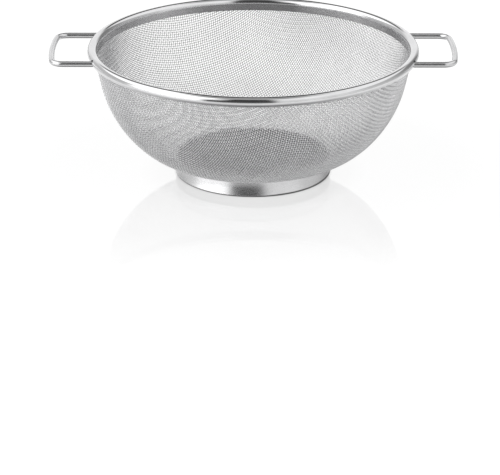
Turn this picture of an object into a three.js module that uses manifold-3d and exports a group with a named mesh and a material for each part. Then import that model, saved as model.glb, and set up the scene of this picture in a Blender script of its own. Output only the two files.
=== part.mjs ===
// A wire-mesh strainer: a bowl of woven wire cloth crimped into a rolled rim band,
// two wire handles hooked into the rim, and a foot ring welded under the bowl.
// Millimetres, +Z up. The origin is the middle of the foot ring, at table height.
import * as THREE from "three";
import { mergeVertices } from "three/addons/utils/BufferGeometryUtils.js";
import Module from "manifold-3d";

// Driving dimensions of the whole
const RIM_DIAMETER = 240; // outside of the rim band
const OVERALL_HEIGHT = 96.5; // table to the top of the rim
const FIT_GAP = 0.3; // between pieces that are crimped, hooked or welded together

// Rim band
const STRIP_THICKNESS = 0.5;
const FLANGE_DEPTH = 9; // top of the rim to the lower edge of its inner flange

// Bowl
const CLOTH_THICKNESS = 1; // two crossed wires
const CLOTH_LAP = 1.9; // height of cloth held between the flange and the bead
const WALL_TAPER = THREE.MathUtils.degToRad(12.7); // lean of the wall from upright
const WALL_STRAIGHT = 20; // straight length of wall down from the edge of the cloth
const BASE_RADIUS = 53; // flat middle of the bowl
const FLOOR_CLEARANCE = 12; // table to the underside of the flat middle

// Openings of the bowl, a plain grid of rings and ribs that stands for the fine mesh
const FLOOR_RING_SHARES = [0.26, 0.53, 0.64, 0.88]; // edges of the floor's openings, as shares of its radius
const WALL_OPEN_SHARE = 0.55; // of the straight length of wall
const RING_EVERY = 3; // rows of the turn from ring to ring
const RIB_EVERY = 3; // columns from rib to rib
const MIDDLE_RIB_EVERY = 6; // the same round the middle of the floor

// Handles
const WIRE_DIAMETER = 4.2;
const BEAD_PLAY = 1; // room round the wire inside the rim's bead
const HOLE_PLAY = 0.6; // room round the wire in its hole, left above it
const HANDLE_SPREAD = 67; // between the middles of the two legs
const HANDLE_REACH = 27.6; // outside of the rim to the outside of the grip
const CORNER_BEND = 8; // radius at the middle of the wire
const GRIP_BOW = 230; // radius of the grip's gentle outward bow
const HOOK_BEND = 3.5; // radius where a leg turns into the bead
const HOOK_LENGTH = 28; // wire that lies in the bead past that turn

// Foot ring
const FOOT_OUTSET = 1.8; // edge of the flat middle to the outside of the foot's top
const FOOT_FLARE = 2.2; // the foot widens by this much down to the table
const FOOT_TOP_RADIUS = BASE_RADIUS + FOOT_OUTSET;
const FOOT_BOTTOM_RADIUS = FOOT_TOP_RADIUS + FOOT_FLARE;
const FOOT_THICKNESS = 0.6;
const LIP_WIDTH = 4; // welded to the underside of the cloth
const HEM_WIDTH = 2; // turned in along the table

// Fineness of the round forms
const ROUND_SEGMENTS = 72;
const BEAD_STEPS = 14;
const BOWL_STEPS = 13;
const LIP_STEPS = 3;
const WIRE_SIDES = 10;
const WIRE_STEPS = 100;

const polishedSteel = new THREE.MeshStandardMaterial({ color: 0xd3d5d7, roughness: 0.18, metalness: 1 });
const drawnWire = new THREE.MeshStandardMaterial({ color: 0xc4c6c8, roughness: 0.25, metalness: 1 });
const wireCloth = new THREE.MeshStandardMaterial({ color: 0xb4b6b8, roughness: 0.4, metalness: 1 });

const wasm = await Module();
wasm.setup();

// The rim's bead: its own radius, and the middle of its section as radius and height
const rimRadius = RIM_DIAMETER / 2;
const wireRadius = WIRE_DIAMETER / 2;
const beadHollow = wireRadius + BEAD_PLAY;
const beadRadius = beadHollow + STRIP_THICKNESS;
const beadMiddle = new THREE.Vector2(rimRadius - beadRadius, OVERALL_HEIGHT - beadRadius);
const flangeOutside = beadMiddle.x - beadHollow;
const flangeBottom = OVERALL_HEIGHT - FLANGE_DEPTH;

// The middle surface of the cloth: a leaning wall, a round turn and a flat middle
const halfCloth = CLOTH_THICKNESS / 2;
const wallUp = new THREE.Vector2(Math.sin(WALL_TAPER), Math.cos(WALL_TAPER));
const clothAtFlange = flangeOutside + FIT_GAP + halfCloth / Math.cos(WALL_TAPER);
const clothEdge = new THREE.Vector2(
  clothAtFlange + CLOTH_LAP * Math.tan(WALL_TAPER),
  flangeBottom + CLOTH_LAP,
);
const wallEnd = clothEdge.clone().addScaledVector(wallUp, -WALL_STRAIGHT);
const baseHeight = FLOOR_CLEARANCE + halfCloth;
const baseEdge = new THREE.Vector2(BASE_RADIUS, baseHeight);
const turnCorner = wallEnd.clone().addScaledVector(wallUp, (baseHeight - wallEnd.y) / wallUp.y);

// A point of the turn at a share of its way up, moved out from the middle surface.
// The turn is a quarter ellipse that leaves the flat middle and meets the wall smoothly.
function turnPoint(share, offset) {
  const angle = (share * Math.PI) / 2;
  const along = baseEdge.clone().sub(turnCorner);
  const up = wallEnd.clone().sub(turnCorner);
  const point = turnCorner.clone();
  point.addScaledVector(along, 1 - Math.sin(angle));
  point.addScaledVector(up, 1 - Math.cos(angle));
  const tangent = up.multiplyScalar(Math.sin(angle)).addScaledVector(along, -Math.cos(angle)).normalize();
  return point.add(new THREE.Vector2(tangent.y, -tangent.x).multiplyScalar(offset));
}

// A point under the cloth at a given radius, moved out from the middle surface
function underCloth(radius, offset) {
  if (radius <= BASE_RADIUS) return new THREE.Vector2(radius, baseHeight - offset);
  let low = 0;
  let high = 1;
  for (let i = 0; i < 40; i++) {
    const middle = (low + high) / 2;
    if (turnPoint(middle, offset).x < radius) low = middle;
    else high = middle;
  }
  return turnPoint(low, offset);
}

// Points under the cloth between two radii
function lipRun(from, to, offset) {
  const points = [];
  for (let i = 0; i <= LIP_STEPS; i++) {
    points.push(underCloth(from + ((to - from) * i) / LIP_STEPS, offset));
  }
  return points;
}

// Points along an arc in the section plane
function sectionArc(middle, radius, from, to, steps) {
  const points = [];
  for (let i = 0; i <= steps; i++) {
    const angle = from + ((to - from) * i) / steps;
    points.push(new THREE.Vector2(Math.cos(angle), Math.sin(angle)).multiplyScalar(radius).add(middle));
  }
  return points;
}

// A section turned about +Z
function turned(points) {
  return new THREE.LatheGeometry(points, ROUND_SEGMENTS).rotateX(Math.PI / 2);
}

// A closed geometry as a solid that can be joined and cut
function toSolid(geometry) {
  const bare = geometry.clone();
  bare.deleteAttribute("normal");
  bare.deleteAttribute("uv");
  const merged = mergeVertices(bare, 1e-3);
  const vertProperties = merged.attributes.position.array;
  const triVerts = new Uint32Array(merged.index.array);
  return new wasm.Manifold(new wasm.Mesh({ numProp: 3, vertProperties, triVerts }));
}

// A solid as a geometry again
function toGeometry(solid) {
  const mesh = solid.getMesh();
  const geometry = new THREE.BufferGeometry();
  geometry.setAttribute("position", new THREE.BufferAttribute(mesh.vertProperties, mesh.numProp));
  geometry.setIndex(new THREE.BufferAttribute(mesh.triVerts, 1));
  geometry.computeVertexNormals();
  return geometry;
}

// Rings of the bowl's section from the middle of its floor to its edge: the points of its two faces,
// and the columns from rib to rib in the row past the ring, or 0 where that row is closed
function bowlRings() {
  const rings = FLOOR_RING_SHARES.map((share, i) => ({
    outside: new THREE.Vector2(share * BASE_RADIUS, baseHeight - halfCloth),
    inside: new THREE.Vector2(share * BASE_RADIUS, baseHeight + halfCloth),
    ribEvery: [MIDDLE_RIB_EVERY, 0, RIB_EVERY, 0][i],
  }));
  for (let i = 0; i < BOWL_STEPS; i++) {
    rings.push({
      outside: turnPoint(i / BOWL_STEPS, halfCloth),
      inside: turnPoint(i / BOWL_STEPS, -halfCloth),
      ribEvery: i % RING_EVERY === 0 ? 0 : RIB_EVERY,
    });
  }
  const across = new THREE.Vector2(wallUp.y, -wallUp.x).multiplyScalar(halfCloth);
  for (const share of [0, WALL_OPEN_SHARE, 1]) {
    const place = wallEnd.clone().addScaledVector(wallUp, share * WALL_STRAIGHT);
    rings.push({
      outside: place.clone().add(across),
      inside: place.clone().sub(across),
      ribEvery: share === 0 ? RIB_EVERY : 0,
    });
  }
  return rings;
}

// The bowl is a thin shell, open at the top, with a grid of openings
function meshBowl() {
  const rings = bowlRings();
  const positions = [0, 0, baseHeight - halfCloth, 0, 0, baseHeight + halfCloth];
  for (const { outside, inside } of rings) {
    for (let column = 0; column < ROUND_SEGMENTS; column++) {
      const angle = (column * 2 * Math.PI) / ROUND_SEGMENTS;
      for (const { x, y } of [outside, inside]) positions.push(x * Math.cos(angle), x * Math.sin(angle), y);
    }
  }
  const faces = [];
  const quad = (a, b, c, d) => faces.push(a, b, c, a, c, d);
  const corner = (ring, column) => 2 + 2 * (ring * ROUND_SEGMENTS + (column % ROUND_SEGMENTS));
  const wall = (from, to) => quad(from, to, to + 1, from + 1);
  const filled = (row, column) => {
    if (row < 0) return true;
    if (row === rings.length - 1) return false;
    return rings[row].ribEvery === 0 || column % rings[row].ribEvery === 0;
  };
  for (let column = 0; column < ROUND_SEGMENTS; column++) {
    const first = corner(0, column);
    const next = corner(0, column + 1);
    faces.push(0, next, first, 1, first + 1, next + 1);
    if (!filled(0, column)) wall(first, next);
    for (let row = 0; row < rings.length - 1; row++) {
      if (!filled(row, column)) continue;
      const low = corner(row, column);
      const lowNext = corner(row, column + 1);
      const high = corner(row + 1, column);
      const highNext = corner(row + 1, column + 1);
      quad(low, lowNext, highNext, high);
      quad(low + 1, high + 1, highNext + 1, lowNext + 1);
      if (!filled(row + 1, column)) wall(high, highNext);
      if (!filled(row - 1, column)) wall(lowNext, low);
      if (!filled(row, column + 1)) wall(highNext, lowNext);
      if (!filled(row, column + ROUND_SEGMENTS - 1)) wall(low, high);
    }
  }
  const geometry = new THREE.BufferGeometry();
  geometry.setAttribute("position", new THREE.Float32BufferAttribute(positions, 3));
  geometry.setIndex(faces);
  geometry.computeVertexNormals();
  return geometry;
}

// The wire's seat in the bead: low and outward, clear of the strip by the fit gap
const seatOffset = (BEAD_PLAY - FIT_GAP) * Math.SQRT1_2;
const seatRadius = beadMiddle.x + seatOffset;
const handleHeight = beadMiddle.y - seatOffset;
const legOffset = HANDLE_SPREAD / 2;

// The bead is rolled over from the flange, outward and under, until it meets the cloth.
// Each handle leg passes through a hole in its outside.
function rimBand() {
  const clothUnderBead = clothEdge.x + halfCloth / Math.cos(WALL_TAPER) + FIT_GAP;
  const rollEnd = -Math.PI / 2 - Math.asin((beadMiddle.x - clothUnderBead) / beadRadius);
  const flangeInside = flangeOutside - STRIP_THICKNESS;
  const band = turned([
    new THREE.Vector2(flangeOutside, flangeBottom),
    ...sectionArc(beadMiddle, beadHollow, Math.PI, rollEnd, BEAD_STEPS),
    ...sectionArc(beadMiddle, beadRadius, rollEnd, Math.PI, BEAD_STEPS),
    new THREE.Vector2(flangeInside, flangeBottom),
    new THREE.Vector2(flangeOutside, flangeBottom),
  ]);
  const holeRadius = wireRadius + HOLE_PLAY;
  const holeLength = 2 * beadRadius;
  const holeStart = Math.sqrt(beadMiddle.x ** 2 - legOffset ** 2);
  let solid = toSolid(band);
  for (const side of [-1, 1]) {
    for (const end of [-1, 1]) {
      const hole = new THREE.CylinderGeometry(holeRadius, holeRadius, holeLength, 2 * WIRE_SIDES);
      hole.rotateZ(Math.PI / 2);
      hole.translate(
        side * (holeStart + holeLength / 2),
        end * legOffset,
        handleHeight + HOLE_PLAY - FIT_GAP,
      );
      solid = solid.subtract(toSolid(hole));
    }
  }
  return toGeometry(solid);
}

// An arc at handle height, about a point of the plan
class PlanArc extends THREE.Curve {
  constructor(middleX, middleY, radius, from, to) {
    super();
    Object.assign(this, { middleX, middleY, radius, from, to });
  }

  getPoint(share, target = new THREE.Vector3()) {
    const angle = this.from + (this.to - this.from) * share;
    const x = this.middleX + this.radius * Math.cos(angle);
    const y = this.middleY + this.radius * Math.sin(angle);
    return target.set(x, y, handleHeight);
  }
}

// A straight length at handle height
function planLine(fromX, toX, y) {
  return new THREE.LineCurve3(
    new THREE.Vector3(fromX, y, handleHeight),
    new THREE.Vector3(toX, y, handleHeight),
  );
}

// The right-hand wire, from its front end in the bead round the grip to its rear end in the bead
function handleRoute() {
  const gripOutermost = rimRadius + HANDLE_REACH - wireRadius;
  const gripMiddle = gripOutermost - GRIP_BOW;
  const cornerY = legOffset - CORNER_BEND;
  const cornerX = gripMiddle + Math.sqrt((GRIP_BOW - CORNER_BEND) ** 2 - cornerY ** 2);
  const gripAngle = Math.atan2(cornerY, cornerX - gripMiddle);
  const hookY = legOffset + HOOK_BEND;
  const hookX = Math.sqrt((seatRadius + HOOK_BEND) ** 2 - hookY ** 2);
  const hookAngle = Math.atan2(hookY, hookX);
  const hookEnd = hookAngle + HOOK_LENGTH / seatRadius;
  const right = Math.PI / 2;
  const route = new THREE.CurvePath();
  route.add(new PlanArc(0, 0, seatRadius, -hookEnd, -hookAngle));
  route.add(new PlanArc(hookX, -hookY, HOOK_BEND, Math.PI - hookAngle, right));
  route.add(planLine(hookX, cornerX, -legOffset));
  route.add(new PlanArc(cornerX, -cornerY, CORNER_BEND, -right, -gripAngle));
  route.add(new PlanArc(gripMiddle, 0, GRIP_BOW, -gripAngle, gripAngle));
  route.add(new PlanArc(cornerX, cornerY, CORNER_BEND, gripAngle, right));
  route.add(planLine(cornerX, hookX, legOffset));
  route.add(new PlanArc(hookX, hookY, HOOK_BEND, -right, hookAngle - Math.PI));
  route.add(new PlanArc(0, 0, seatRadius, hookAngle, hookEnd));
  return route;
}

function handleWire() {
  const section = new THREE.Shape().absarc(0, 0, wireRadius, 0, 2 * Math.PI);
  return new THREE.ExtrudeGeometry(section, {
    extrudePath: handleRoute(),
    steps: WIRE_STEPS,
    curveSegments: WIRE_SIDES / 2,
  });
}

// The foot ring: a lip that follows the underside of the cloth, a flared band and a turned-in hem
function footRing() {
  const lipTop = halfCloth + FIT_GAP;
  const lipUnder = lipTop + FOOT_THICKNESS;
  const lipInside = FOOT_TOP_RADIUS - LIP_WIDTH;
  const bandInside = FOOT_TOP_RADIUS - FOOT_THICKNESS;
  return turned([
    new THREE.Vector2(FOOT_BOTTOM_RADIUS, 0),
    ...lipRun(FOOT_TOP_RADIUS, lipInside, lipTop),
    ...lipRun(lipInside, bandInside, lipUnder),
    new THREE.Vector2(FOOT_BOTTOM_RADIUS - FOOT_THICKNESS, FOOT_THICKNESS),
    new THREE.Vector2(FOOT_BOTTOM_RADIUS - HEM_WIDTH, FOOT_THICKNESS),
    new THREE.Vector2(FOOT_BOTTOM_RADIUS - HEM_WIDTH, 0),
    new THREE.Vector2(FOOT_BOTTOM_RADIUS, 0),
  ]);
}

function named(name, geometry, material) {
  const mesh = new THREE.Mesh(geometry, material);
  mesh.name = name;
  return mesh;
}

const strainer = new THREE.Group();
strainer.add(named("mesh_bowl", meshBowl(), wireCloth));
strainer.add(named("rim_band", rimBand(), polishedSteel));
strainer.add(named("handle_right", handleWire(), drawnWire));
const leftSide = new THREE.Group();
leftSide.rotation.z = Math.PI;
leftSide.add(named("handle_left", handleWire(), drawnWire));
strainer.add(leftSide);
strainer.add(named("foot_ring", footRing(), polishedSteel));

export default strainer;
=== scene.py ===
"""Looks of a wire-mesh strainer: a woven bowl, a rolled rim, two wire handles and a foot ring.

Metres, +Z up, +X through the right-hand handle. The camera stands on the -Y side.
"""

import math

import bpy
import numpy as np
from mathutils import Matrix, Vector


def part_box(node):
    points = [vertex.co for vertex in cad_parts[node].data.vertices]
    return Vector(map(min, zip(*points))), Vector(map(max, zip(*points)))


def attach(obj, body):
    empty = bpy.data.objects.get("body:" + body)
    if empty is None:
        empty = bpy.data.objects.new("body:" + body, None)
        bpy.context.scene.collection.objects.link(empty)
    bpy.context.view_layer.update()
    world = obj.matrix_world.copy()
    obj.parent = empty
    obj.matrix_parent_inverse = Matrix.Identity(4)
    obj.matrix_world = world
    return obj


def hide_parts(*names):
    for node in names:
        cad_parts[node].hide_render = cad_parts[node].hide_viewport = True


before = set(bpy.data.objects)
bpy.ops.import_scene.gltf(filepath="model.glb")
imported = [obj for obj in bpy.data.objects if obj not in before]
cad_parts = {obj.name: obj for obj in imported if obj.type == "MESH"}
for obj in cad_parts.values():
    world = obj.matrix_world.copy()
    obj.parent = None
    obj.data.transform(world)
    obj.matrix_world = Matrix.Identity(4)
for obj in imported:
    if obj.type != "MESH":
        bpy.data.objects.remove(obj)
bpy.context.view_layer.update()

MM = 0.001
TINY = 1e-12  # keeps a division clear of zero

# Sizes read from the frame
rim_low, rim_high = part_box("rim_band")
bowl_low, bowl_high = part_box("mesh_bowl")
_, foot_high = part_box("foot_ring")
_, handle_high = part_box("handle_right")
rim_radius = rim_high.y
rim_top = rim_high.z
flange_bottom = rim_low.z
foot_radius = foot_high.y

# Bowl
CLOTH_THICKNESS = 1.0 * MM  # of the CAD shell that the cloth stands for
WALL_TAPER = math.radians(12.7)  # lean of the wall from upright
WALL_STRAIGHT = 20 * MM  # straight length of wall below the edge of the cloth
WALL_SPARE = 24 * MM  # the wall is carried on this far past its edge while the cloth is draped
BASE_RADIUS = 53 * MM  # flat middle of the bowl
FLAT_POINTS = 100  # points of the section in its flat middle, and again in its wall
TURN_POINTS = 600  # points of the section in its turn

# Cloth: plain weave of round wire, pressed over a bowl-shaped tool
PITCH = 1.75 * MM  # between the middles of neighbouring wires
CLOTH_WIRE = 0.5 * MM  # wire diameter
CLOTH_TURN = math.radians(29)  # warp direction from +X
WARP_CRIMP = 0.2 * CLOTH_WIRE  # the warp waves this far either way, and the weft takes up the rest
CLOTH_SIDES = 6  # faces round a wire of the cloth
CLOTH_PARTS = 4  # pieces that each set of parallel wires is stored in
SPARE_WIRES = 3  # draped past the edge of the cloth
DRAPE_ROUNDS = 8  # rounds that bring a crossing to its pitch
DRAPE_STEP = 0.001 * PITCH  # over which the slope of the bowl is taken in a round
BAKE_STRIP = 0.9  # share of its strip of the bake map that a wire fills

# Look of the cloth. Tones are darker below 0 and lighter above.
TONE_SEED = 7
SET_TONE = 0.5  # the weft is this much lighter and the warp darker than the mean
TONE_SPREAD = 0.25  # between single wires
KNUCKLE_WEAR_AND_PAINTED_LIGHT = 3.0  # outer knuckles are rubbed bright by wear and carry a painted highlight, inner ones painted shade, at a rise of one wire diameter
TONES = (-2, 2)  # tones that pass into the shades below
TONE_SHADES = (0.25, 0.75)
PATCHES = 60  # soft patches of tone, per metre
PATCH_SHARE = 0.2  # of the patches in the shade
SHADES = (0.3, 0.9)  # shades that pass into the greys below
WALL_STEEL = (0.52, 0.98)  # greys of the wall
SHADED_MIDDLE_STEEL = (0.27, 0.61)  # greys of the middle, darker with painted shade for the shaded inside of the foot seen through it
SHADED_MIDDLE_RADIUS = 56.5 * MM  # of the painted shade on the middle, out to its weld on the foot
SHADED_MIDDLE_FADE = 1.5 * MM  # the painted shade of the middle passes into the wall over this distance
CLOTH_LINES = (600, 16000)  # drawing lines per metre, along and across the wire
CLOTH_LINE_DEPTH = 0.004 * MM
CLOTH_ROUGH = (0.18, 0.3)

# Rim band
STRIP_THICKNESS = 0.5 * MM
BEAD_RADIUS = 3.6 * MM
ROLL_GAP = 0.3 * MM  # between the rolled edge and the cloth
RIM_STEPS = 480  # round the rim
BEAD_STEPS = 72  # round the bead's section
FLANGE_STEPS = 18  # down the flange
EDGE_STEPS = 8  # round an edge of the strip

# Spot welds of the handles, seen as craters on the inside of the flange
WELD_ANGLE = math.radians(30.6)  # from the X axis
WELD_HEIGHT = 2.3 * MM  # above the flange's lower edge
WELD_SIZES = [
    (2.0 * MM, 1.15 * MM), (0.8 * MM, 0.7 * MM), (1.7 * MM, 1.1 * MM), (1.2 * MM, 0.9 * MM),
]  # half width and half height
WELD_DEPTH = 0.22 * MM
WELD_LIP = 0.45  # height of the lip round a crater, as a share of the depth
WELD_LIP_PLACE = 1.25  # from the crater's middle, as a share of its size
WELD_LIP_WIDTH = 0.25
WELD_REACH = 3  # the crater's form is followed out to this many times its size
WELD_SPAN = 0.03  # radians to either side of a weld, where the steps are finer
WELD_STEPS = 48  # over both sides together

# Look of the rolled sheet of rim and foot
SHEET_POLISHED = (0.72, 0.8)
SHEET_SMEARS = 45  # per metre
SHEET_LINES = (30, 7000)  # rolling lines per metre, round the band and across it
SHEET_CHATTER = (700, 12)  # faint marks across the band, per metre
CHATTER_DETAIL = 3.0
CHATTER_DEPTH = 0.004 * MM
# greys of the painted shade on the inside of the flange and in the bead's hollow
RIM_SHADED = (0.27, 0.31)
RIM_ROUGH = (0.07, 0.13)
RIM_LINE_DEPTH = 0.0006 * MM
RIM_GRAIN = 0.3  # anisotropy
SIDES_LIT_FROM = 32 * MM  # the flange's painted shade eases from this far left and right of the middle, where it reflects the lit wall
SIDES_LIT_FADE = 36 * MM
SIDES_LIT_SHARE = 0.42
# greys of the painted shade on the foot's lip and lower edge
FOOT_SHADED = (0.09, 0.13)
FOOT_ROUGH = (0.16, 0.26)
FOOT_LINE_DEPTH = 0.002 * MM
FOOT_GRAIN = 0.75  # anisotropy
SHADED_EDGE = 1.0 * MM  # painted shade along the foot's lower edge, up to this height
SHADED_EDGE_RIGHT = 1.9 * MM  # the same at the right
EDGE_SHADE_FADE = 0.2 * MM

# Handles
HANDLE_WIRE = 4.2 * MM
HANDLE_SPREAD = 67 * MM  # between the middles of the two legs
CORNER_BEND = 8 * MM
GRIP_BOW = 230 * MM  # radius of the grip's gentle outward bow
HOOK_BEND = 3.5 * MM  # where a leg turns into the bead
HOOK_LENGTH = 28 * MM
SEAT_OFFSET = 0.495 * MM  # the wire lies this far out and down from the bead's middle
HOLE_RADIUS = 2.7 * MM
HOLE_RISE = 0.3 * MM  # the hole's middle above the wire's
HOLE_SIDES = 48
SHARP_EDGE = math.radians(35)  # edges of the holes stay sharp from this angle on
HANDLE_SIDES = 28
HANDLE_STEP = 0.7 * MM  # between sections along the wire
LEAST_ARC_STEPS = 3

# Look of the handles
HANDLE_STEEL = (0.68, 0.76)
HANDLE_SMEARS = 70  # per metre
HANDLE_LINES = (40, 5000)  # drawing lines per metre, along and across the wire
HANDLE_LINE_DEPTH = 0.002 * MM
HANDLE_RIPPLES = (160, 60)
RIPPLE_DEPTH = 0.02 * MM
HANDLE_ROUGH = (0.2, 0.3)

# Foot ring
FOOT_OUTSET = 1.8 * MM  # edge of the flat middle to the outside of the foot's top
FOOT_THICKNESS = 0.6 * MM
FLARE_HOLLOW = 0.2 * MM  # the flared band is hollowed this far towards the axis
HEM_BEND = 0.9 * MM
HEM_WIDTH = 2 * MM
LIP_WIDTH = 4 * MM
LIP_GAP = 0.3 * MM  # between the lip and the cloth
FOOT_STEPS = 360  # round the foot
LIP_POINTS = 12
FLARE_STEPS = 20
HEM_STEPS = 12  # round the outside of the hem
HEM_HOLLOW_STEPS = 6  # round its inside

# Table: white under a clear coat, with a faint mirror image of the strainer in it.
# Lists hold values at distances from the strainer's axis.
TABLE_SIZE = 8.0  # metres along each side
TABLE_DROP = 0.02 * MM  # the table's top lies this far below the foot
TABLE_REACH = 250 * MM  # the lists hold out to this distance
TABLE_WHITE = [(53 * MM, 0.12), (57 * MM, 0.15)]  # darker in the shade inside the foot
TABLE_LIFT = [(54 * MM, 0.0), (58 * MM, 0.945)]  # light that the table shows beyond what it reflects
LIFT_POWER = 0.6  # how fast the lift in the metal falls off as the table is seen more from above
MIRROR_DEPTH = 3.55 * MM  # the mirror lies this far below the foot
MIRROR_ROUGH = 0.015
MIRROR_SHINE = [
    (53 * MM, 0.0), (58 * MM, 0.25), (70 * MM, 0.25), (84 * MM, 0.19),
    (151 * MM, 0.18), (175 * MM, 0.15), (200 * MM, 0.11), (240 * MM, 0.0),
]  # share of the mirror in what the table shows
METAL_SHINE = 0.19  # least share of the mirror in what the strainer's metal shows of the table
CAMERA_GLANCE = 0.63  # facing value of the table as the camera sees it, where the shares above hold
GLANCE_POWER = 5  # how fast the mirror's share grows as the table is seen more edge-on
GLANCE_MOST = 1.8  # the share grows no more than this many times
METAL_MOST = 3.4  # the same in what the strainer's metal shows of the table

# Light: a white studio seen by direction. Azimuths run from the camera's side to the right,
# in degrees, and levels are brightness, 1 being the white of the background.
HALF_TURN = 180
LOW_SIDES = [
    (-180, 1.0), (-160, 1.0), (-140, 0.6), (-96, 0.6), (-86, 1.65), (-38, 1.65), (-31, 0.08), (13, 0.08),
    (18, 0.82), (66, 0.86), (84, 0.62), (110, 0.5), (135, 0.25), (150, 0.25), (162, 1.0), (180, 1.0),
]
HIGH_SIDES = [
    (-180, 0.05), (-158, 0.05), (-146, 1.2), (-120, 1.65), (-38, 1.65), (-18, 0.05), (13, 0.05),
    (22, 1.05), (146, 1.05), (158, 0.05), (180, 0.05),
]
HIGH_FROM = (25, 29)  # elevations over which the low sides pass into the high sides
TOP_FROM = (60, 72)  # elevations over which the high sides pass into the top
TOP_LEVEL = 0.42

# Camera, as fitted to the photograph
CAMERA_PLACE = (-2.12 * MM, -1800 * MM, 678 * MM)
CAMERA_PITCH = math.radians(-22.137)  # from the horizon
CAMERA_ROLL = math.radians(0.1)
CAMERA_LENS = 187.8  # millimetres
CAMERA_SENSOR = 36  # millimetres across

# Noise and colour of all the steel
NOISE_RANGE = (0.3, 0.7)  # values of the noise that pass into a look's whole range
LINE_DETAIL = 2.0
SMEAR_DETAIL = 3.0
STEEL_BLUE = 1.01  # blue of the steel's grey, as a share of its red and green


# Shape of the cloth's middle surface, as radius and height

half_cloth = CLOTH_THICKNESS / 2
wall_up = np.array([math.sin(WALL_TAPER), math.cos(WALL_TAPER)])
cloth_edge = np.array([
    bowl_high.y - half_cloth * math.cos(WALL_TAPER),
    bowl_high.z - half_cloth * math.sin(WALL_TAPER),
])
wall_end = cloth_edge - WALL_STRAIGHT * wall_up
base_edge = np.array([BASE_RADIUS, bowl_low.z + half_cloth])
turn_corner = wall_end + wall_up * (base_edge[1] - wall_end[1]) / wall_up[1]


def turn(shares):
    """Points of the round turn between the flat middle and the wall."""
    angle = shares * math.pi / 2
    along = base_edge - turn_corner
    up = wall_end - turn_corner
    return turn_corner + np.outer(1 - np.sin(angle), along) + np.outer(1 - np.cos(angle), up)


def run_lengths(points):
    """Length from the first point to each point of a line."""
    steps = np.linalg.norm(np.diff(points, axis=0), axis=1)
    return np.concatenate([[0.0], np.cumsum(steps)])


bowl_line = np.concatenate([
    np.stack([np.linspace(0, BASE_RADIUS, FLAT_POINTS), np.full(FLAT_POINTS, base_edge[1])], axis=1),
    turn(np.linspace(0, 1, TURN_POINTS))[1:],
    wall_end + np.outer(np.linspace(0, WALL_STRAIGHT + WALL_SPARE, FLAT_POINTS)[1:], wall_up),
])
bowl_run = run_lengths(bowl_line)
bowl_slope = np.gradient(bowl_line, bowl_run, axis=0)
cloth_reach = bowl_run[-1] - WALL_SPARE  # from the pole to the edge, along the cloth


def under_cloth(radii, offset):
    """Points at these radii below the cloth, as radius and height, offset from its middle surface."""
    line = bowl_line + offset * np.stack([bowl_slope[:, 1], -bowl_slope[:, 0]], axis=1)
    return np.stack([radii, np.interp(radii, line[:, 0], line[:, 1])], axis=1)


def polar(chart):
    """Distance from the pole and heading of chart points."""
    run = np.linalg.norm(chart, axis=-1)
    return run, chart / np.maximum(run, TINY)[..., None]


def on_bowl(chart):
    """Points on the bowl for chart points, which lie as far from the pole as their own length."""
    run, heading = polar(chart)
    radius = np.interp(run, bowl_run, bowl_line[:, 0])
    height = np.interp(run, bowl_run, bowl_line[:, 1])
    return np.concatenate([heading * radius[..., None], height[..., None]], axis=-1)


def bowl_normal(chart):
    """Outward normals of the bowl at chart points."""
    run, heading = polar(chart)
    out = np.interp(run, bowl_run, bowl_slope[:, 1])
    down = np.interp(run, bowl_run, bowl_slope[:, 0])
    return np.concatenate([heading * out[..., None], -down[..., None]], axis=-1)


# Drape of the cloth: the wires keep their pitch along each other, and only the angle
# between the two sets closes as the flat cloth is pressed into the bowl.

def drape_quarter(count):
    """Chart points of the crossings in one quarter of the cloth, found from their two neighbours."""
    chart = np.zeros((count, count, 2))
    chart[:, 0, 0] = np.arange(count) * PITCH
    chart[0, :, 1] = np.arange(count) * PITCH
    for diagonal in range(2, 2 * count - 1):
        i = np.arange(max(1, diagonal - count + 1), min(diagonal - 1, count - 1) + 1)
        j = diagonal - i
        before_i = on_bowl(chart[i - 1, j])
        before_j = on_bowl(chart[i, j - 1])
        guess = chart[i - 1, j] + chart[i, j - 1] - chart[i - 1, j - 1]
        for _ in range(DRAPE_ROUNDS):
            here = on_bowl(guess)
            along_x = (on_bowl(guess + [DRAPE_STEP, 0]) - here) / DRAPE_STEP
            along_y = (on_bowl(guess + [0, DRAPE_STEP]) - here) / DRAPE_STEP
            error_i = ((here - before_i) ** 2).sum(1) - PITCH ** 2
            error_j = ((here - before_j) ** 2).sum(1) - PITCH ** 2
            ix = 2 * (along_x * (here - before_i)).sum(1)
            iy = 2 * (along_y * (here - before_i)).sum(1)
            jx = 2 * (along_x * (here - before_j)).sum(1)
            jy = 2 * (along_y * (here - before_j)).sum(1)
            spread = ix * jy - iy * jx
            spread = np.where(np.abs(spread) < TINY, TINY, spread)
            move_x = (error_i * jy - error_j * iy) / spread
            move_y = (ix * error_j - jx * error_i) / spread
            guess = guess - np.clip(np.stack([move_x, move_y], axis=1), -PITCH, PITCH)
        chart[i, j] = guess
    return chart


def drape():
    """Chart points of all crossings, the pole in the middle of the array, and which set lies outside."""
    count = int(cloth_reach / PITCH) + SPARE_WIRES
    quarter = drape_quarter(count)
    index = np.arange(1 - count, count)
    i, j = np.meshgrid(index, index, indexing="ij")
    chart = quarter[np.abs(i), np.abs(j)] * np.stack([np.sign(i), np.sign(j)], axis=-1)
    cos, sin = math.cos(CLOTH_TURN), math.sin(CLOTH_TURN)
    warp_outside = np.where((i + j) % 2 == 0, 1.0, -1.0)
    return chart @ np.array([[cos, sin], [-sin, cos]]), warp_outside


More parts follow.
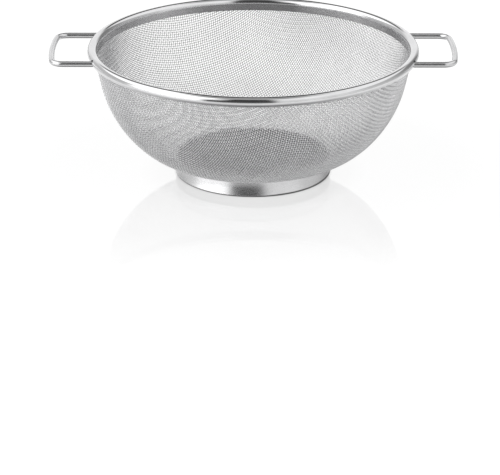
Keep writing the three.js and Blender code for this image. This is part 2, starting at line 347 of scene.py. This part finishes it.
def wire_path(chart, crimp):
    """Middle line, normals and rise of one cloth wire, cut at the edge of the cloth."""
    run = np.linalg.norm(chart, axis=1)
    inside = np.flatnonzero(run <= cloth_reach)
    if len(inside) < 2:
        return None
    first, last = inside[0], inside[-1]
    start = first - (cloth_reach - run[first]) / (run[first - 1] - run[first])
    end = last + (cloth_reach - run[last]) / (run[last + 1] - run[last])
    places = np.arange(2 * first, 2 * last + 1) / 2
    places = np.concatenate([[start], places[1:-1] if len(places) > 2 else places, [end]])
    index = np.arange(len(chart))
    spots = np.stack([np.interp(places, index, chart[:, axis]) for axis in (0, 1)], axis=1)
    rise = np.interp(places, index, crimp)
    normal = bowl_normal(spots)
    return on_bowl(spots) + rise[:, None] * normal, normal, rise / CLOTH_WIRE


# Meshes

def wire_mesh(line, normals, diameter, sides):
    """A round wire along a line.

    Gives its points, its faces as quads and end caps, and for each corner of each face the length
    along the wire and the share of a turn round it.
    """
    tangent = np.gradient(line, axis=0)
    tangent /= np.linalg.norm(tangent, axis=1, keepdims=True)
    side = np.cross(tangent, normals)
    side /= np.linalg.norm(side, axis=1, keepdims=True)
    up = np.cross(side, tangent)
    angle = np.arange(sides) * 2 * math.pi / sides
    ring = np.cos(angle)[:, None, None] * up + np.sin(angle)[:, None, None] * side
    points = (line + diameter / 2 * ring).transpose(1, 0, 2).reshape(-1, 3)
    k, m = np.meshgrid(np.arange(len(line) - 1), np.arange(sides), indexing="ij")
    k, m = k.ravel(), m.ravel()
    here, beyond, beside = k * sides, (k + 1) * sides, (m + 1) % sides
    quads = np.stack([here + m, beyond + m, beyond + beside, here + beside], axis=1)
    round_ring = np.arange(sides)
    caps = np.stack([round_ring, (len(line) - 1) * sides + round_ring[::-1]])
    run = run_lengths(line)
    lengths = np.stack([run[k], run[k + 1], run[k + 1], run[k]], axis=1).ravel()
    lengths = np.concatenate([lengths, np.zeros(sides), np.full(sides, run[-1])])
    rounds = np.stack([m, m, m + 1, m + 1], axis=1).ravel()
    rounds = np.concatenate([rounds, round_ring, round_ring]) / sides
    return points, (quads, caps), lengths, rounds


def new_piece(name, points, faces, maps, material, node):
    """A smooth mesh that stands for a CAD node. maps holds a UV for each corner of each face."""
    mesh = bpy.data.meshes.new(name)
    mesh.from_pydata(points, [], faces)
    for map_name, corners in maps.items():
        layer = mesh.uv_layers.new(name=map_name)
        layer.uv.foreach_set("vector", np.asarray(corners, np.float32).ravel())
    mesh.polygons.foreach_set("use_smooth", np.ones(len(mesh.polygons), bool))
    mesh.materials.append(material)
    mesh.update()
    piece = bpy.data.objects.new(name, mesh)
    bpy.context.scene.collection.objects.link(piece)
    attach(piece, "root")
    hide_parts(node)
    return piece


def point_places(piece):
    """Radius from the axis, place along X and height of each point of a piece."""
    places = np.empty(3 * len(piece.data.vertices), np.float32)
    piece.data.vertices.foreach_get("co", places)
    x, y, z = places.reshape(-1, 3).T
    return np.hypot(x, y), x, z


def set_points(piece, name, values):
    """Stores a value for each point of a piece, for its material to read."""
    layer = piece.data.attributes.new(name, "FLOAT", "POINT")
    layer.data.foreach_set("value", values.astype(np.float32))


def cloth_piece(name, paths, set_tone, material):
    """One piece of the cloth: several wires, each a strip of its own on the bake map."""
    points, faces, along, bake, tones_and_knuckle_light = [], [], [], [], []
    longest = max(run_lengths(line)[-1] for line, _, _ in paths)
    count = 0
    for number, (line, normals, rise) in enumerate(paths):
        wire_points, wire_faces, lengths, rounds = wire_mesh(line, normals, CLOTH_WIRE, CLOTH_SIDES)
        for alike in wire_faces:
            faces.extend((alike + count).tolist())
        strip = (number + BAKE_STRIP * rounds) / len(paths)
        bake.append(np.stack([lengths / longest, strip], axis=1))
        along.append(np.stack([lengths, rounds * math.pi * CLOTH_WIRE], axis=1))
        # real tone for each set and each wire, plus a painted highlight on the outer knuckles and painted
        # shade on the inner ones
        ring_tones_and_knuckle_light = set_tone + TONE_SPREAD * wire_tones.normal() + KNUCKLE_WEAR_AND_PAINTED_LIGHT * rise
        tones_and_knuckle_light.append(np.repeat(ring_tones_and_knuckle_light, CLOTH_SIDES))
        points.append(wire_points)
        count += len(wire_points)
    points = np.concatenate(points)
    maps = {"OFBake": np.concatenate(bake), "along": np.concatenate(along)}
    piece = new_piece(name, points, faces, maps, material, "mesh_bowl")
    radii = np.hypot(points[:, 0], points[:, 1])
    set_points(piece, "tone_and_knuckle_light", np.concatenate(tones_and_knuckle_light))
    # painted shade over the middle of the cloth, out to its weld on the foot
    set_points(piece, "shaded_middle", np.clip((SHADED_MIDDLE_RADIUS - radii) / SHADED_MIDDLE_FADE, 0, 1))


def lathe_piece(name, outline, angles, material, node, dent=None):
    """A closed section turned about +Z. dent moves points by their angle, radius and height."""
    rows, columns = len(angles), len(outline)
    angle, column = np.meshgrid(angles, np.arange(columns), indexing="ij")
    radius, height = outline[column, 0], outline[column, 1]
    if dent is not None:
        radius = radius + dent(angle, radius, height)
    points = np.stack([radius * np.cos(angle), radius * np.sin(angle), height], axis=-1).reshape(-1, 3)
    i, j = np.meshgrid(np.arange(rows), np.arange(columns), indexing="ij")
    here, beyond, beside = i * columns, (i + 1) % rows * columns, (j + 1) % columns
    faces = np.stack([here + j, beyond + j, beyond + beside, here + beside], axis=-1)
    run = run_lengths(np.concatenate([outline, outline[:1]]))
    turns = np.concatenate([angles, [angles[0] + 2 * math.pi]])
    u = np.stack([turns[i], turns[i + 1], turns[i + 1], turns[i]], axis=-1).ravel()
    v = np.stack([run[j], run[j], run[j + 1], run[j + 1]], axis=-1).ravel()
    maps = {
        "OFBake": np.stack([(u - turns[0]) / (2 * math.pi), v / run[-1]], axis=1),
        "along": np.stack([u * outline[:, 0].max(), v], axis=1),
    }
    return new_piece(name, points, faces.reshape(-1, 4).tolist(), maps, material, node)


def arc(middle, radius, start, end, steps):
    """Points of an arc, angles in radians."""
    angle = np.linspace(start, end, steps + 1)
    return np.stack([middle[0] + radius * np.cos(angle), middle[1] + radius * np.sin(angle)], axis=1)


def straight(start, end, steps):
    """Points between two points, without the end points."""
    return np.linspace(start, end, steps + 1)[1:-1]


# Nodes

def add_node(tree, kind, **settings):
    """A node with its properties, or its inputs by name, set."""
    node = tree.nodes.new(kind)
    for key, value in settings.items():
        if key in node.inputs:
            node.inputs[key].default_value = value
        else:
            setattr(node, key, value)
    return node


def put(tree, value, socket):
    """Links an output to a socket, or sets the socket to a plain value."""
    if isinstance(value, bpy.types.NodeSocket):
        tree.links.new(value, socket)
    else:
        socket.default_value = value


def calculate(tree, operation, *values, clamp=False):
    """A Math node on outputs or plain numbers."""
    node = add_node(tree, "ShaderNodeMath", operation=operation, use_clamp=clamp)
    for value, socket in zip(values, node.inputs):
        put(tree, value, socket)
    return node.outputs[0]


def mix_colours(tree, share, first, second):
    """The first colour, which passes into the second as the share goes from 0 to 1."""
    node = add_node(tree, "ShaderNodeMix", data_type="RGBA")
    put(tree, share, node.inputs["Factor"])
    put(tree, first, node.inputs["A"])
    put(tree, second, node.inputs["B"])
    return node.outputs["Result"]


def mix_shaders(tree, share, first, second):
    """The first shader, which passes into the second as the share goes from 0 to 1."""
    node = add_node(tree, "ShaderNodeMixShader")
    for value, socket in zip((share, first, second), node.inputs):
        tree.links.new(value, socket)
    return node.outputs[0]


def to_range(tree, value, low, high, start=NOISE_RANGE[0], end=NOISE_RANGE[1]):
    """Value from start to end, spread over low to high."""
    node = add_node(tree, "ShaderNodeMapRange")
    node.inputs["From Min"].default_value = start
    node.inputs["From Max"].default_value = end
    node.inputs["To Min"].default_value = low
    node.inputs["To Max"].default_value = high
    tree.links.new(value, node.inputs["Value"])
    return node.outputs["Result"]


def grey(level):
    """A plain grey as a colour."""
    return (level, level, level, 1)


def steel_grey(tree, value, low, high):
    """A colour between two greys, the steel's faint blue kept."""
    first, second = [(level, level, level * STEEL_BLUE, 1) for level in (low, high)]
    return mix_colours(tree, value, first, second)


def ramp(tree, value, stops, start, end):
    """A brightness that follows stops of (place, level), places lying from start to end."""
    node = add_node(tree, "ShaderNodeValToRGB")
    elements = node.color_ramp.elements
    while len(elements) < len(stops):
        elements.new(0.5)
    for element, (place, level) in zip(elements, stops):
        element.position = (place - start) / (end - start)
        element.color = grey(level)
    tree.links.new(to_range(tree, value, 0, 1, start, end), node.inputs["Fac"])
    return node.outputs["Color"]


def stretched_noise(tree, scale, detail=LINE_DETAIL):
    """Noise on the map along a piece, with its own count per metre along and across."""
    place = add_node(tree, "ShaderNodeUVMap", uv_map="along")
    stretch = add_node(tree, "ShaderNodeMapping")
    stretch.inputs["Scale"].default_value = (*scale, 1)
    noise = add_node(tree, "ShaderNodeTexNoise", Scale=1.0, Detail=detail)
    tree.links.new(place.outputs["UV"], stretch.inputs["Vector"])
    tree.links.new(stretch.outputs["Vector"], noise.inputs["Vector"])
    return noise.outputs["Fac"]


def space_noise(tree, scale):
    """Noise in the object's own space, scale per metre."""
    place = add_node(tree, "ShaderNodeTexCoord")
    noise = add_node(tree, "ShaderNodeTexNoise", Scale=scale, Detail=SMEAR_DETAIL)
    tree.links.new(place.outputs["Object"], noise.inputs["Vector"])
    return noise.outputs["Fac"]


def stored(tree, name):
    """A value stored on the points of a piece."""
    return add_node(tree, "ShaderNodeAttribute", attribute_name=name).outputs["Fac"]


def bump(tree, value, distance, before=None):
    """A normal that follows a height, on top of the one before."""
    node = add_node(tree, "ShaderNodeBump", Strength=1.0, Distance=distance)
    tree.links.new(value, node.inputs["Height"])
    if before is not None:
        tree.links.new(before, node.inputs["Normal"])
    return node.outputs["Normal"]


# Materials

def new_metal(name):
    """A metal material, its node tree and the inputs of its shader."""
    material = bpy.data.materials.new(name)
    material.use_nodes = True
    tree = material.node_tree
    shader = tree.nodes["Principled BSDF"]
    shader.inputs["Metallic"].default_value = 1.0
    return material, tree, shader.inputs


def cloth_steel():
    """Drawn wire: a tone for each wire, a painted highlight on the outer knuckles, which are also rubbed
    bright, painted shade on the inner knuckles and on the middle, and fine lines along it.
    """
    material, tree, inputs = new_metal("wire_cloth_steel")
    wire = to_range(tree, stored(tree, "tone_and_knuckle_light"), *TONE_SHADES, *TONES)
    both = calculate(tree, "MULTIPLY_ADD", space_noise(tree, PATCHES), PATCH_SHARE, wire)
    shade = to_range(tree, both, 0, 1, *SHADES)
    wall = steel_grey(tree, shade, *WALL_STEEL)
    # painted shade: the middle is darker, for the shaded inside of the foot seen through it
    middle = steel_grey(tree, shade, *SHADED_MIDDLE_STEEL)
    tree.links.new(mix_colours(tree, stored(tree, "shaded_middle"), wall, middle), inputs["Base Color"])
    lines = stretched_noise(tree, CLOTH_LINES)
    tree.links.new(to_range(tree, lines, *CLOTH_ROUGH), inputs["Roughness"])
    tree.links.new(bump(tree, lines, CLOTH_LINE_DEPTH), inputs["Normal"])
    return material


def rolled_steel(name, shaded_greys, rough, line_depth, grain):
    """Polished sheet: lines round the band, faint marks across it, smears, and darker stretches of painted
    shade.
    """
    material, tree, inputs = new_metal(name)
    smear = to_range(tree, space_noise(tree, SHEET_SMEARS), 0, 1)
    bright = steel_grey(tree, smear, *SHEET_POLISHED)
    # painted shade: a darker grey than the polished steel, where each point's stored value says
    painted_shade = steel_grey(tree, smear, *shaded_greys)
    tree.links.new(mix_colours(tree, stored(tree, "painted_shade"), bright, painted_shade), inputs["Base Color"])
    lines = stretched_noise(tree, SHEET_LINES)
    tree.links.new(to_range(tree, lines, *rough), inputs["Roughness"])
    chatter = stretched_noise(tree, SHEET_CHATTER, CHATTER_DETAIL)
    normal = bump(tree, chatter, CHATTER_DEPTH)
    tree.links.new(bump(tree, lines, line_depth, normal), inputs["Normal"])
    inputs["Anisotropic"].default_value = grain
    tangent = add_node(tree, "ShaderNodeTangent", direction_type="RADIAL", axis="Z")
    tree.links.new(tangent.outputs["Tangent"], inputs["Tangent"])
    return material


def handle_steel():
    """Polished wire: drawing lines along its length, faint ripples and smears."""
    material, tree, inputs = new_metal("handle_steel")
    smear = to_range(tree, space_noise(tree, HANDLE_SMEARS), 0, 1)
    tree.links.new(steel_grey(tree, smear, *HANDLE_STEEL), inputs["Base Color"])
    lines = stretched_noise(tree, HANDLE_LINES)
    tree.links.new(to_range(tree, lines, *HANDLE_ROUGH), inputs["Roughness"])
    normal = bump(tree, stretched_noise(tree, HANDLE_RIPPLES), RIPPLE_DEPTH)
    tree.links.new(bump(tree, lines, HANDLE_LINE_DEPTH, normal), inputs["Normal"])
    return material


# The bowl

wire_tones = np.random.default_rng(TONE_SEED)
crossings, warp_outside = drape()
weft_crimp = CLOTH_WIRE - WARP_CRIMP
warp = [wire_path(crossings[:, k], WARP_CRIMP * warp_outside[:, k]) for k in range(crossings.shape[1])]
weft = [wire_path(crossings[k], -weft_crimp * warp_outside[k]) for k in range(crossings.shape[0])]
cloth_material = cloth_steel()
for set_name, paths, set_tone in (("warp", warp, -SET_TONE), ("weft", weft, SET_TONE)):
    paths = [path for path in paths if path is not None]
    rings = np.cumsum([len(line) for line, _, _ in paths])
    part_of = np.minimum(rings * CLOTH_PARTS // (rings[-1] + 1), CLOTH_PARTS - 1)
    for part in range(CLOTH_PARTS):
        chosen = [path for path, p in zip(paths, part_of) if p == part]
        cloth_piece(f"cloth_{set_name}_{part + 1}", chosen, set_tone, cloth_material)


# The rim band

bead_middle = np.array([rim_radius - BEAD_RADIUS, rim_top - BEAD_RADIUS])
bead_hollow = BEAD_RADIUS - STRIP_THICKNESS
half_strip = STRIP_THICKNESS / 2
flange_middle = bead_middle[0] - bead_hollow - half_strip
weld_angles = [WELD_ANGLE, math.pi - WELD_ANGLE, math.pi + WELD_ANGLE, 2 * math.pi - WELD_ANGLE]


def rim_section():
    """Section of the rim: a flange that passes into a bead, which is rolled in until it meets the cloth."""
    cloth_outside = cloth_edge[0] + half_cloth / math.cos(WALL_TAPER) + ROLL_GAP
    roll_end = -math.pi / 2 - math.asin((bead_middle[0] - cloth_outside) / BEAD_RADIUS)
    roll_way = np.array([math.cos(roll_end), math.sin(roll_end)])
    roll_tip = bead_middle + (BEAD_RADIUS - half_strip) * roll_way
    flange_end = np.array([flange_middle, flange_bottom + half_strip])
    return np.concatenate([
        arc(flange_end, half_strip, 2 * math.pi, math.pi, EDGE_STEPS),
        straight(flange_end - [half_strip, 0], bead_middle - [BEAD_RADIUS, 0], FLANGE_STEPS),
        arc(bead_middle, BEAD_RADIUS, math.pi, roll_end, BEAD_STEPS),
        arc(roll_tip, half_strip, roll_end, roll_end - math.pi, EDGE_STEPS)[1:-1],
        arc(bead_middle, bead_hollow, roll_end, math.pi, BEAD_STEPS // 3),
    ])[::-1]


def rim_angles():
    """Angles of the sections round the rim, closer together at the welds."""
    even = np.arange(RIM_STEPS) * 2 * math.pi / RIM_STEPS
    fine = np.linspace(-WELD_SPAN, WELD_SPAN, WELD_STEPS + 1)
    return np.unique(np.concatenate([even] + [middle + fine for middle in weld_angles]))


def weld_dents(angle, radius, height):
    """Craters of the spot welds, flat-bottomed with a lip, in the inside of the flange."""
    moved = np.zeros_like(radius)
    inside = (radius < flange_middle) & (height < bead_middle[1])
    for middle, (half_width, half_height) in zip(weld_angles, WELD_SIZES):
        across = (angle - middle) * flange_middle / half_width
        up = (height - flange_bottom - WELD_HEIGHT) / half_height
        far = np.hypot(across, up)
        lip = WELD_LIP * np.exp(-((far - WELD_LIP_PLACE) / WELD_LIP_WIDTH) ** 2)
        crater = np.exp(-far ** 4) - lip
        moved += np.where(inside & (far < WELD_REACH), WELD_DEPTH * crater, 0)
    return moved


leg_offset = HANDLE_SPREAD / 2
seat_radius = bead_middle[0] + SEAT_OFFSET
handle_height = bead_middle[1] - SEAT_OFFSET


def hole_cutter(side, end):
    """A round bar through the outside of the bead, where a handle leg passes."""
    start = side * math.sqrt(bead_middle[0] ** 2 - leg_offset ** 2)
    middle = (end * leg_offset, handle_height + HOLE_RISE)
    ring = arc(middle, HOLE_RADIUS, 0, 2 * math.pi, HOLE_SIDES)[:-1]
    points = [[x, y, z] for x in (start, start + side * 2 * BEAD_RADIUS) for y, z in ring.tolist()]
    near = list(range(HOLE_SIDES))
    far = [HOLE_SIDES + k for k in near]
    faces = [[k, (k + 1) % HOLE_SIDES, HOLE_SIDES + (k + 1) % HOLE_SIDES, HOLE_SIDES + k] for k in near]
    faces = [face[::side] for face in faces] + [near[::-side], far[::side]]
    mesh = bpy.data.meshes.new("hole")
    mesh.from_pydata(points, [], faces)
    cutter = bpy.data.objects.new("hole", mesh)
    bpy.context.scene.collection.objects.link(cutter)
    return cutter


def cut_leg_holes(piece):
    """Cuts the holes that the handle legs pass through into the outside of the bead."""
    for side in (-1, 1):
        for end in (-1, 1):
            cutter = hole_cutter(side, end)
            cut = piece.modifiers.new("hole", "BOOLEAN")
            cut.operation = "DIFFERENCE"
            cut.solver = "EXACT"
            cut.object = cutter
            with bpy.context.temp_override(object=piece, active_object=piece):
                bpy.ops.object.modifier_apply(modifier=cut.name)
            bpy.data.objects.remove(cutter)
    piece.data.set_sharp_from_angle(angle=SHARP_EDGE)


def rim_painted_shade(piece):
    """Painted shade on the inside of the flange, for its dark reflection, eased towards the left and right
    where it reflects the lit wall, and inside the bead's hollow.
    """
    radii, x, heights = point_places(piece)
    inside_flange = (radii < flange_middle) & (heights < bead_middle[1])
    from_bead = np.hypot(radii - bead_middle[0], heights - bead_middle[1])
    lit_sides = np.clip((np.abs(x) - SIDES_LIT_FROM) / SIDES_LIT_FADE, 0, 1)
    painted_shade = np.where(inside_flange, 1 - SIDES_LIT_SHARE * lit_sides, 0)
    return np.where(from_bead < BEAD_RADIUS - half_strip, 1, painted_shade)


rim_material = rolled_steel("rim_steel", RIM_SHADED, RIM_ROUGH, RIM_LINE_DEPTH, RIM_GRAIN)
rim = lathe_piece("rim", rim_section(), rim_angles(), rim_material, "rim_band", weld_dents)
cut_leg_holes(rim)
set_points(rim, "painted_shade", rim_painted_shade(rim))


# The handles

def plan_arc(middle_x, middle_y, radius, start, end):
    """Points of an arc in plan, a handle step apart."""
    steps = max(LEAST_ARC_STEPS, int(abs(end - start) * radius / HANDLE_STEP))
    return arc((middle_x, middle_y), radius, start, end, steps)


def handle_line():
    """Plan of the right-hand wire, from its front end in the bead round the grip to its rear end."""
    grip_outermost = handle_high.x - HANDLE_WIRE / 2
    grip_middle = grip_outermost - GRIP_BOW
    corner_y = leg_offset - CORNER_BEND
    corner_x = grip_middle + math.sqrt((GRIP_BOW - CORNER_BEND) ** 2 - corner_y ** 2)
    grip_angle = math.atan2(corner_y, corner_x - grip_middle)
    hook_y = leg_offset + HOOK_BEND
    hook_x = math.sqrt((seat_radius + HOOK_BEND) ** 2 - hook_y ** 2)
    hook_angle = math.atan2(hook_y, hook_x)
    hook_end = hook_angle + HOOK_LENGTH / seat_radius
    leg_steps = int((corner_x - hook_x) / HANDLE_STEP)
    rear = np.concatenate([
        plan_arc(grip_middle, 0, GRIP_BOW, 0, grip_angle)[1:],
        plan_arc(corner_x, corner_y, CORNER_BEND, grip_angle, math.pi / 2)[1:],
        straight([corner_x, leg_offset], [hook_x, leg_offset], leg_steps),
        plan_arc(hook_x, hook_y, HOOK_BEND, -math.pi / 2, hook_angle - math.pi),
        plan_arc(0, 0, seat_radius, hook_angle, hook_end)[1:],
    ])
    front = rear[::-1] * [1, -1]
    return np.concatenate([front, [[grip_outermost, 0]], rear])


def handle_piece(name, node, side, material):
    """A handle, on the right for a side of 1 and on the left for -1."""
    plan = handle_line() * side
    line = np.column_stack([plan, np.full(len(plan), handle_height)])
    up = np.tile([0.0, 0.0, 1.0], (len(line), 1))
    points, (quads, caps), lengths, rounds = wire_mesh(line, up, HANDLE_WIRE, HANDLE_SIDES)
    maps = {
        "OFBake": np.stack([lengths / lengths.max(), rounds], axis=1),
        "along": np.stack([lengths, rounds * math.pi * HANDLE_WIRE], axis=1),
    }
    new_piece(name, points, quads.tolist() + caps.tolist(), maps, material, node)


handle_material = handle_steel()
handle_piece("right_handle", "handle_right", 1, handle_material)
handle_piece("left_handle", "handle_left", -1, handle_material)


# The foot ring

foot_top_radius = BASE_RADIUS + FOOT_OUTSET
band_inside = foot_top_radius - FOOT_THICKNESS


def flare(start, end):
    """Points between two points of the flared band, hollowed towards the axis, without the end points."""
    share = np.linspace(0, 1, FLARE_STEPS + 1)[1:-1]
    points = start + np.outer(share, end - start)
    points[:, 0] -= 4 * FLARE_HOLLOW * share * (1 - share)
    return points


def foot_section():
    """Section of the foot: a lip under the cloth, a flared band and a turned-in hem."""
    lip_top = half_cloth + LIP_GAP
    lip_under = lip_top + FOOT_THICKNESS
    lip_inside = foot_top_radius - LIP_WIDTH
    top_run = under_cloth(np.linspace(lip_inside, foot_top_radius, LIP_POINTS), lip_top)
    under_run = under_cloth(np.linspace(band_inside, lip_inside, LIP_POINTS), lip_under)
    lean = math.atan2(foot_radius - foot_top_radius + 4 * FLARE_HOLLOW, top_run[-1][1])
    out = np.array([math.cos(lean), math.sin(lean)])
    hem_middle = np.array([foot_radius - HEM_BEND, HEM_BEND])
    hem_hollow = HEM_BEND - FOOT_THICKNESS
    half_sheet = FOOT_THICKNESS / 2
    hem_end = np.array([foot_radius - HEM_WIDTH, half_sheet])
    down = -math.pi / 2
    return np.concatenate([
        top_run,
        flare(top_run[-1], hem_middle + HEM_BEND * out),
        arc(hem_middle, HEM_BEND, lean, down, HEM_STEPS),
        arc(hem_end, half_sheet, down, down - math.pi, EDGE_STEPS),
        arc(hem_middle, hem_hollow, down, lean, HEM_HOLLOW_STEPS),
        flare(hem_middle + hem_hollow * out, under_run[0]),
        under_run,
    ])[::-1]


def foot_painted_shade(piece):
    """Painted shade on the lip, under the cloth, and along the lower edge, which is broader at the right.
    """
    radii, x, heights = point_places(piece)
    to_right = np.clip(x / foot_radius, 0, 1)
    edge = SHADED_EDGE + (SHADED_EDGE_RIGHT - SHADED_EDGE) * to_right
    on_lip = (radii < band_inside) & (heights > heights.max() / 2)
    return np.where(on_lip, 1, np.clip((edge - heights) / EDGE_SHADE_FADE, 0, 1))


foot_angles = np.arange(FOOT_STEPS) * 2 * math.pi / FOOT_STEPS
foot_material = rolled_steel("foot_steel", FOOT_SHADED, FOOT_ROUGH, FOOT_LINE_DEPTH, FOOT_GRAIN)
foot = lathe_piece("foot", foot_section(), foot_angles, foot_material, "foot_ring")
set_points(foot, "painted_shade", foot_painted_shade(foot))


# The table

def stage_plane(name, height, material):
    """A level square of the stage."""
    reach = TABLE_SIZE / 2
    corners = [(-reach, -reach, 0), (reach, -reach, 0), (reach, reach, 0), (-reach, reach, 0)]
    mesh = bpy.data.meshes.new(name)
    mesh.from_pydata(corners, [], [(0, 1, 2, 3)])
    mesh.materials.append(material)
    plane = bpy.data.objects.new(name, mesh)
    plane.location.z = height
    bpy.context.scene.collection.objects.link(plane)


def stage_material(name):
    """An empty material, its node tree and the socket for its surface."""
    material = bpy.data.materials.new(name)
    material.use_nodes = True
    tree = material.node_tree
    tree.nodes.remove(tree.nodes["Principled BSDF"])
    return material, tree, tree.nodes["Material Output"].inputs["Surface"]


def table_material():
    """White that lets the mirror below show through near the strainer, and is clear from below."""
    material, tree, surface = stage_material("table_white")
    place = add_node(tree, "ShaderNodeTexCoord")
    far = add_node(tree, "ShaderNodeVectorMath", operation="LENGTH")
    tree.links.new(place.outputs["Object"], far.inputs[0])
    white_level, lift_level, mirror_share = [
        ramp(tree, far.outputs["Value"], stops, 0, TABLE_REACH)
        for stops in (TABLE_WHITE, TABLE_LIFT, MIRROR_SHINE)
    ]
    path = add_node(tree, "ShaderNodeLightPath").outputs
    by_metal = calculate(tree, "ADD", path["Is Glossy Ray"], path["Is Transmission Ray"], clamp=True)
    facing = add_node(tree, "ShaderNodeLayerWeight", Blend=0.5)
    glance = calculate(tree, "DIVIDE", facing.outputs["Facing"], CAMERA_GLANCE)

    from_above = calculate(tree, "POWER", calculate(tree, "MINIMUM", glance, 1), LIFT_POWER)
    shown = calculate(tree, "MULTIPLY_ADD", from_above, by_metal, path["Is Camera Ray"], clamp=True)
    lift = add_node(tree, "ShaderNodeEmission")
    tree.links.new(calculate(tree, "MULTIPLY", lift_level, shown), lift.inputs["Strength"])
    white = add_node(tree, "ShaderNodeBsdfDiffuse")
    tree.links.new(white_level, white.inputs["Color"])
    lit = add_node(tree, "ShaderNodeAddShader")
    tree.links.new(white.outputs[0], lit.inputs[0])
    tree.links.new(lift.outputs[0], lit.inputs[1])

    least = calculate(tree, "MULTIPLY", by_metal, METAL_SHINE)
    share = calculate(tree, "MAXIMUM", mirror_share, least)
    most = calculate(tree, "MULTIPLY_ADD", by_metal, METAL_MOST - GLANCE_MOST, GLANCE_MOST)
    gain = calculate(tree, "MINIMUM", calculate(tree, "POWER", glance, GLANCE_POWER), most)
    shine = calculate(tree, "MULTIPLY", share, gain, clamp=True)
    clear = add_node(tree, "ShaderNodeBsdfTransparent").outputs[0]
    top = mix_shaders(tree, shine, lit.outputs[0], clear)
    from_below = add_node(tree, "ShaderNodeNewGeometry").outputs["Backfacing"]
    tree.links.new(mix_shaders(tree, from_below, top, clear), surface)
    return material


def mirror_material():
    """A mirror below the table, which gives the image in the clear coat."""
    material, tree, surface = stage_material("table_mirror")
    mirror = add_node(tree, "ShaderNodeBsdfGlossy", Roughness=MIRROR_ROUGH)
    tree.links.new(mirror.outputs[0], surface)
    return material


stage_plane("table", -TABLE_DROP, table_material())
stage_plane("mirror", -MIRROR_DEPTH, mirror_material())


# The light

def studio_world():
    """White for the camera, and the studio's sides and top for the strainer and the table."""
    world = bpy.data.worlds.new("studio")
    bpy.context.scene.world = world
    world.use_nodes = True
    tree = world.node_tree
    place = add_node(tree, "ShaderNodeTexCoord")
    way = add_node(tree, "ShaderNodeSeparateXYZ")
    tree.links.new(place.outputs["Generated"], way.inputs[0])
    to_camera = calculate(tree, "MULTIPLY", way.outputs["Y"], -1)
    azimuth = calculate(tree, "DEGREES", calculate(tree, "ARCTAN2", way.outputs["X"], to_camera))
    elevation = calculate(tree, "DEGREES", calculate(tree, "ARCSINE", way.outputs["Z"]))
    low_sides = ramp(tree, azimuth, LOW_SIDES, -HALF_TURN, HALF_TURN)
    high_sides = ramp(tree, azimuth, HIGH_SIDES, -HALF_TURN, HALF_TURN)
    sides = mix_colours(tree, to_range(tree, elevation, 0, 1, *HIGH_FROM), low_sides, high_sides)
    level = mix_colours(tree, to_range(tree, elevation, 0, 1, *TOP_FROM), sides, grey(TOP_LEVEL))
    path = add_node(tree, "ShaderNodeLightPath").outputs
    shown = mix_colours(tree, path["Is Camera Ray"], level, grey(1))
    tree.links.new(shown, tree.nodes["Background"].inputs["Color"])


studio_world()


# The camera

camera_data = bpy.data.cameras.new("camera")
camera_data.lens = CAMERA_LENS
camera_data.sensor_width = CAMERA_SENSOR
camera = bpy.data.objects.new("camera", camera_data)
camera.location = CAMERA_PLACE
tilt = Matrix.Rotation(math.pi / 2 + CAMERA_PITCH, 3, "X") @ Matrix.Rotation(CAMERA_ROLL, 3, "Z")
camera.rotation_euler = tilt.to_euler()
bpy.context.scene.collection.objects.link(camera)
bpy.context.scene.camera = camera
bpy.context.scene.view_settings.view_transform = "Standard"
